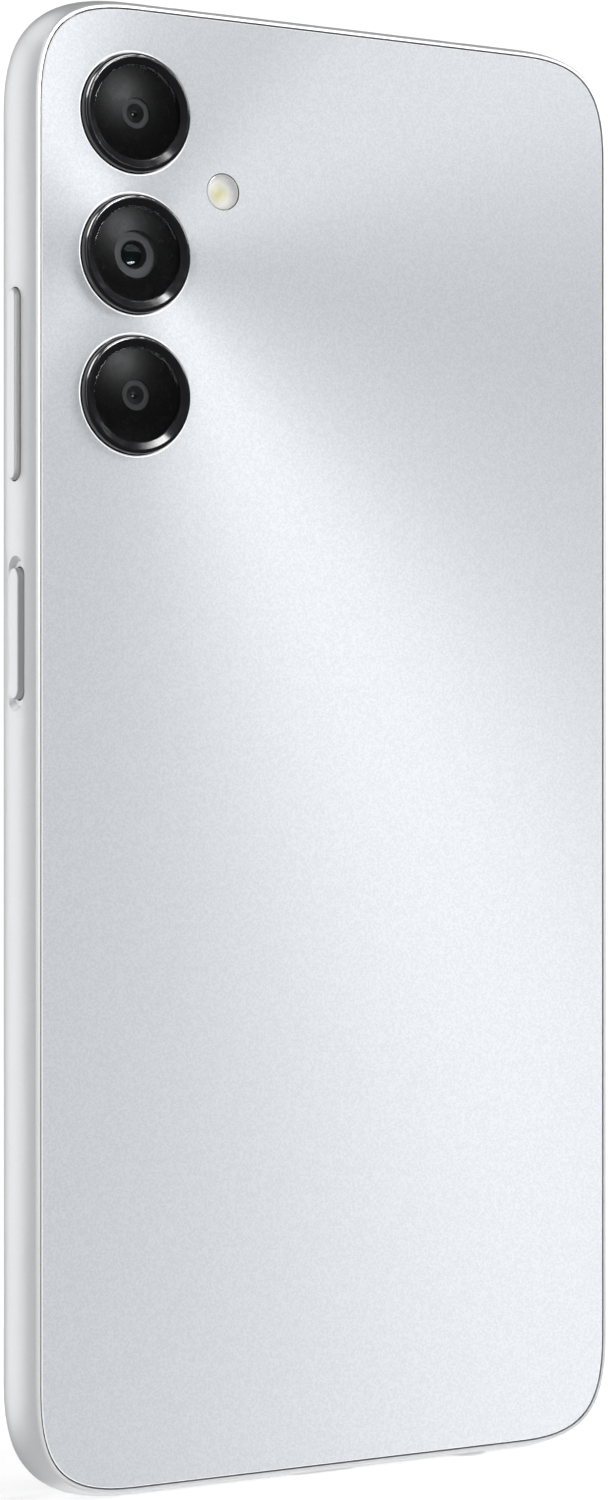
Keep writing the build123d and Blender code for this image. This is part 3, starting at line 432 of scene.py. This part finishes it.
# finishes of the CAD nodes, by material slot
FINISHES = {
    "pearl_cover": pearl_lacquer(),
    "silver_frame": silver_lacquer(),
    "silver_keys": silver_lacquer("key_lacquer", 0.48),
    "ring_black": gloss_black(),
    "lens_cover_glass": clear_glass(),
    "display_glass": display_glass(),
    "lens_glass": lens_glass(),
    "camera_black": moulded("camera_black", (0.012, 0.012, 0.013), 0.45, 0.1, 0.002),
    "flash_diffuser": flash_diffuser(),
    "flash_phosphor": moulded("flash_phosphor", (0.90, 0.78, 0.25), 0.6, 0.08, 0.002),
    "adhesive": moulded("adhesive", (0.02, 0.02, 0.02), 0.8, 0.15, 0.006),
    "mid_plate_metal": sheet_metal("mid_plate_metal", (0.42, 0.43, 0.44), 0.45, (1, 1, 1)),
    "lcd_glass": moulded("lcd_glass", (0.012, 0.012, 0.015), 0.2, 0.5, 0.0005),
    "backlight_white": moulded("backlight_white", (0.80, 0.80, 0.80), 0.4, 0.4, 0.002),
    "mesh_dark": sheet_metal("mesh_dark", (0.05, 0.05, 0.055), 0.45, (1, 1, 1)),
    "circuit_board": moulded("circuit_board", (0.015, 0.09, 0.05), 0.35, 0.6, 0.01),
    "shield_steel": sheet_metal("shield_steel", (0.56, 0.56, 0.55), 0.28, (6, 1, 1)),
    "battery_pouch": moulded("battery_pouch", (0.03, 0.03, 0.034), 0.38, 1.5, 0.02),
    "flex_amber": moulded("flex_amber", (0.22, 0.09, 0.02), 0.35, 0.3, 0.004),
    "coax_black": moulded("coax_black", (0.015, 0.015, 0.015), 0.55, 0.2, 0.003),
    "moulded_dark": moulded("moulded_dark", (0.02, 0.02, 0.022), 0.55, 0.2, 0.008),
    "component_grey": moulded("component_grey", (0.06, 0.06, 0.063), 0.45, 0.15, 0.004),
    "seal_rubber": moulded("seal_rubber", (0.03, 0.03, 0.03), 0.7, 0.2, 0.004),
    "diaphragm_film": moulded("diaphragm_film", (0.12, 0.12, 0.125), 0.3, 0.3, 0.004),
    "rotor_weight": sheet_metal("rotor_weight", (0.35, 0.32, 0.27), 0.4, (1, 1, 1)),
    "screw_steel": sheet_metal("screw_steel", (0.18, 0.18, 0.19), 0.35, (1, 1, 1)),
}


def dress_nodes():
    """Gives every CAD node its slot's finish."""
    for entry in frame["record"]["subparts"]:
        target = nodes[entry["node"]]
        target.data.materials.clear()
        target.data.materials.append(FINISHES[entry["material_slot"]])


dress_nodes()


# ---- camera windows -----------------------------------------------------------------------------
def on_axis(node):
    """A node's centre in the XZ plane, for a piece that is turned about its own Y axis."""
    centre = middle(node)
    return Vector((centre.x, 0, centre.z))


def printed_mask(place, window):
    """The black ink on the underside of a lens cover, turned down a little round its opening."""
    node = f"lens_cover_{place}"
    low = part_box(node)[0][1] / MM
    reach = size(node).x / 2 / MM - 0.02
    back, front = low - 0.004, low - 0.016
    foot = front - MASK_SKIRT
    profile = [(window, back), (reach, back), (reach, front), (window + 0.02, front),
               (window + 0.02, foot), (window, foot)]
    mesh = turned(f"printed_mask_{place}", profile)
    piece(mesh.name, mesh, "phone", MASK_INK, on_axis(node))


def lens_bezel(name, node, inner, outer, top, drop, body):
    """A dish round a lens: a rim, a shallow cone of fine grooves, and a step down to the lens."""
    grooves = 5
    edge = outer - 0.04
    profile = [(outer, top - 0.3), (outer, top - 0.02), (edge, top)]
    step, fall = (edge - inner) / grooves, drop / grooves
    for k in range(grooves):
        r, y = edge - k * step, top - k * fall
        profile.append((r - 0.75 * step, y - 0.7 * fall))
        profile.append((r - 0.8 * step, y - fall - 0.012))
        profile.append((r - step, y - fall))
    profile.append((inner, top - drop - 0.25))
    mesh = turned(name, profile)
    piece(name, mesh, body, BEZEL_BLACK, on_axis(node))


def hole_bevel(place):
    """The cut edge round a camera opening in the cover, its white a painted highlight."""
    node = f"camera_ring_{place}"
    top = BACK_Y / MM + 0.01
    inner, outer = HOLE_RADIUS - 0.03, HOLE_RADIUS + 0.20
    profile = [(inner, top - 0.21), (inner + 0.02, top - 0.15), (outer - 0.06, top), (outer, top - 0.01)]
    mesh = turned(f"hole_bevel_{place}", profile, sharp=20)
    piece(mesh.name, mesh, "phone", BEVEL_PAINTED_HIGHLIGHT, on_axis(node))


def camera_windows():
    """The bevels, masks and bezels of the three rear cameras."""
    for place in PLACES:
        hole_bevel(place)
    for place in PLACES:
        printed_mask(place, MAIN_OPENING if place == "middle" else SMALL_OPENING)
    for place, node in (("top", "upper_camera"), ("bottom", "lower_camera")):
        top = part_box(node)[1][1] / MM + BEZEL_PROUD
        lens_bezel(f"lens_bezel_{place}", node, 1.08, 2.3, top, 0.12, "phone")
    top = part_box("main_lens_barrel")[1][1] / MM + BEZEL_PROUD
    lens_bezel("lens_bezel_middle", "main_lens_barrel", 1.62, 3.1, top, 0.15, "focus_barrel")


def lens_element(name, node, body):
    """The dished front of a lens stack."""
    low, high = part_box(node)
    radius, top, foot = size(node).x / 2 / MM, high[1] / MM, low[1] / MM
    slope, steps = math.radians(LENS_EDGE_SLOPE), 24
    curve = radius / math.sin(slope)
    dip = curve * (1 - math.cos(slope))
    profile = []
    for k in range(steps + 1):
        turn = slope * k / steps
        profile.append((curve * math.sin(turn), top - dip + curve * (1 - math.cos(turn))))
    profile += [(radius, foot), (0, foot)]
    mesh = turned(name, profile, sharp=40)
    glass = SMALL_LENS if body == "phone" else FINISHES["lens_glass"]
    piece(name, mesh, body, glass, on_axis(node))
    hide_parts(node)


camera_windows()
for lens_name, (lens_node, lens_body) in LENSES.items():
    lens_element(lens_name, lens_node, lens_body)


# ---- display front ------------------------------------------------------------------------------
def rounded_loop(half, low, high, radius, notch=()):
    """A rounded rectangle in (x, z), mm, run anticlockwise from its right side, with a notch in its top."""
    loop = arc(half - radius, high - radius, radius, 0, 90, 12)
    loop += notch
    loop += arc(radius - half, high - radius, radius, 90, 180, 12)
    loop += arc(radius - half, low + radius, radius, 180, 270, 12)
    loop += arc(half - radius, low + radius, radius, 270, 360, 12)
    return loop


def printed_border():
    """Black ink under the display glass, open over the picture area and the front camera."""
    panel_low, panel_high = (Vector(c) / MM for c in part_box("lcd_panel"))
    bay = size("display_adhesive") / MM / 2 - Vector((ADHESIVE_WIDTH, 0, ADHESIVE_WIDTH))
    centre_z, camera_z = HEIGHT / 2 / MM, middle("front_camera_lens").z / MM
    half, high = panel_high.x - BORDER_OVERLAP, panel_high.z - BORDER_OVERLAP
    low = panel_low.z + BORDER_OVERLAP
    notch_arc = arc(0, camera_z, NOTCH_RADIUS, 0, -180, 24)
    notch = [(NOTCH_RADIUS, high), *notch_arc, (-NOTCH_RADIUS, high)]
    loops = [
        rounded_loop(bay.x, centre_z - bay.z, centre_z + bay.z, BORDER_CORNER),
        rounded_loop(half, low, high, BORDER_CORNER, notch),
        arc(0, camera_z, FRONT_CAMERA_OPENING, 0, 360, 48)[:-1],
    ]
    sheet = bpy.data.curves.new("printed_border", "CURVE")
    sheet.dimensions, sheet.fill_mode, sheet.extrude = "2D", "BOTH", 0.005 * MM
    for loop in loops:
        spline = sheet.splines.new("POLY")
        spline.points.add(len(loop) - 1)
        spline.points.foreach_set("co", [c for x, z in loop for c in (x * MM, z * MM, 0.0, 1.0)])
        spline.use_cyclic_u = True
    flat = bpy.data.objects.new("flat_border", sheet)
    mesh = bpy.data.meshes.new_from_object(flat)
    bpy.data.objects.remove(flat)
    mesh.name = "printed_border"
    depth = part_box("cover_glass")[1][1] + 0.015 * MM
    mesh.transform(Matrix.Translation((0, depth, 0)) @ Matrix.Rotation(math.radians(90), 4, "X"))
    piece(mesh.name, mesh, "phone", BORDER_INK)


printed_border()


# ---- studio -------------------------------------------------------------------------------------
FOCAL_LENGTH, SENSOR_WIDTH = 83.3, 36.0  # mm
SHIFT_X, SHIFT_Y = -0.02, -0.001
CAMERA_YAW = 30.27  # degrees from straight behind the back, towards the keys
CAMERA_DISTANCE = 0.401
FLOOR_HALF, FLOOR_GLOW = 0.6, 0.55
WORLD_LIGHT, WORLD_IN_REFLECTIONS, BACKDROP = 0.135, 0.05, 1.1


def camera():
    data = bpy.data.cameras.new("camera")
    data.lens, data.sensor_width = FOCAL_LENGTH, SENSOR_WIDTH
    data.shift_x, data.shift_y = SHIFT_X, SHIFT_Y
    data.clip_start = 0.01
    eye = bpy.data.objects.new("camera", data)
    scene.collection.objects.link(eye)
    yaw = math.radians(CAMERA_YAW)
    target = Vector((0.05 * MM, BACK_Y, HEIGHT / 2))
    eye.location = target + CAMERA_DISTANCE * Vector((math.sin(yaw), math.cos(yaw), 0))
    eye.rotation_euler = (math.radians(90), 0, math.radians(180) - yaw)
    scene.camera = eye


def floor():
    """White paper under the phone, left out of reflections."""
    mesh = bpy.data.meshes.new("floor")
    half = FLOOR_HALF
    corners = [(-half, -half, 0), (half, -half, 0), (half, half, 0), (-half, half, 0)]
    mesh.from_pydata(corners, [], [(0, 1, 2, 3)])
    ground = bpy.data.objects.new("floor", mesh)
    scene.collection.objects.link(ground)
    paint = Paint("floor_paper", (0.90, 0.90, 0.90), 0.8, emission_color=(1, 1, 1, 1),
                  emission_strength=FLOOR_GLOW)
    mesh.materials.append(paint.material)
    ground.visible_glossy = False


def world():
    """Even grey light from all round, dimmer in reflections, and a white backdrop behind the object."""
    sky = bpy.data.worlds.new("studio")
    sky.use_nodes = True
    tree = sky.node_tree
    path = tree.nodes.new("ShaderNodeLightPath")
    seen = tree.nodes["Background"].outputs[0]
    tree.nodes["Background"].inputs["Color"].default_value = (1, 1, 1, 1)
    tree.nodes["Background"].inputs["Strength"].default_value = WORLD_LIGHT
    for ray, level in (("Is Glossy Ray", WORLD_IN_REFLECTIONS), ("Is Camera Ray", BACKDROP)):
        glow = tree.nodes.new("ShaderNodeBackground")
        glow.inputs["Color"].default_value = (1, 1, 1, 1)
        glow.inputs["Strength"].default_value = level
        mix = tree.nodes.new("ShaderNodeMixShader")
        tree.links.new(path.outputs[ray], mix.inputs[0])
        tree.links.new(seen, mix.inputs[1])
        tree.links.new(glow.outputs[0], mix.inputs[2])
        seen = mix.outputs[0]
    tree.links.new(seen, tree.nodes["World Output"].inputs[0])
    scene.world = sky


def softbox(name, azimuth, elevation, distance, width, height, watts):
    """A lamp aimed at the phone. Azimuth 0 is straight behind its back, positive towards the keys."""
    data = bpy.data.lights.new(name, "AREA")
    data.shape, data.size, data.size_y = "RECTANGLE", width, height
    data.energy = watts
    lamp = bpy.data.objects.new(name, data)
    scene.collection.objects.link(lamp)
    a, e = math.radians(azimuth), math.radians(elevation)
    away = Vector((math.sin(a) * math.cos(e), math.cos(a) * math.cos(e), math.sin(e)))
    lamp.location = AIM + distance * away
    lamp.rotation_euler = (AIM - lamp.location).to_track_quat("-Z", "Y").to_euler()
    return lamp


def link_to(lamp, names, state):
    """Names the objects that a lamp lights, or leaves out."""
    group = bpy.data.collections.new(f"{lamp.name}_receivers")
    for name in names:
        group.objects.link(bpy.data.objects[name])
    for member in group.collection_objects:
        member.light_linking.link_state = state
    lamp.light_linking.receiver_collection = group


def only_on(lamp, names):
    link_to(lamp, names, "INCLUDE")


def not_on(lamp, names):
    link_to(lamp, names, "EXCLUDE")


def shine_past(lamp, name):
    """Lets a lamp shine through an object, with no shadow from it."""
    blockers = bpy.data.collections.new(f"{lamp.name}_blockers")
    blockers.objects.link(bpy.data.objects[name])
    blockers.collection_objects[0].light_linking.link_state = "EXCLUDE"
    lamp.light_linking.blocker_collection = blockers


def lamps():
    """Softboxes: azimuth and elevation in degrees, distance, width and height in metres, watts."""
    rings, covers, masks, bevels = (
        [f"{kind}_{place}" for place in PLACES]
        for kind in ("camera_ring", "lens_cover", "printed_mask", "hole_bevel")
    )
    subparts = frame["record"]["subparts"]
    shell = [entry["node"] for entry in subparts if entry["material_slot"].startswith("silver_")]
    windows = covers + masks

    # broad light on the phone, kept off the lens covers, which would mirror it
    not_on(softbox("spot", -20, 20, 1.2, 0.15, 0.15, 4.5), covers)
    not_on(softbox("high", 20, 55, 1.2, 0.5, 0.3, 0.4), covers)
    not_on(softbox("right", -62, 25, 1.4, 0.4, 0.4, 7.2), windows)
    not_on(softbox("right_high", -50, 35, 1.3, 0.4, 0.4, 1.2), windows)
    not_on(softbox("right_side", -90, 18, 1.4, 0.4, 0.4, 15.6), windows + rings + shell)
    not_on(softbox("left", 56, 18, 1.2, 0.14, 1.3, 2.8), windows)
    not_on(softbox("behind_left", 148, 5, 1.2, 1.0, 1.2, 4.2), covers)

    # the frame's rim and side wall
    only_on(softbox("rim", 56, 9, 1.2, 0.16, 1.5, 3.0), ["side_frame", "volume_key", "power_key"])
    only_on(softbox("wall_high", 145, 48, 1.2, 0.9, 0.6, 2.0), shell)
    wall_low = softbox("wall_low", -140, -50, 1.0, 0.9, 0.9, 1.8)
    only_on(wall_low, shell)
    shine_past(wall_low, "floor")

    # the cameras
    only_on(softbox("ring_rim", 62, 42, 1.0, 0.8, 0.5, 20.0), rings)
    only_on(softbox("ring_slope", -14, 46, 1.0, 0.45, 0.3, 8.0), rings)
    only_on(softbox("bevel_glow", 10, 15, 1.0, 0.6, 0.6, 9.0), bevels)
    only_on(softbox("lens_catch", -38, 46, 1.0, 0.8, 0.2, 14.0), ["main_lens_front", "lens_cover_middle"])


camera()
floor()
world()
lamps()
scene.view_settings.view_transform = "Standard"
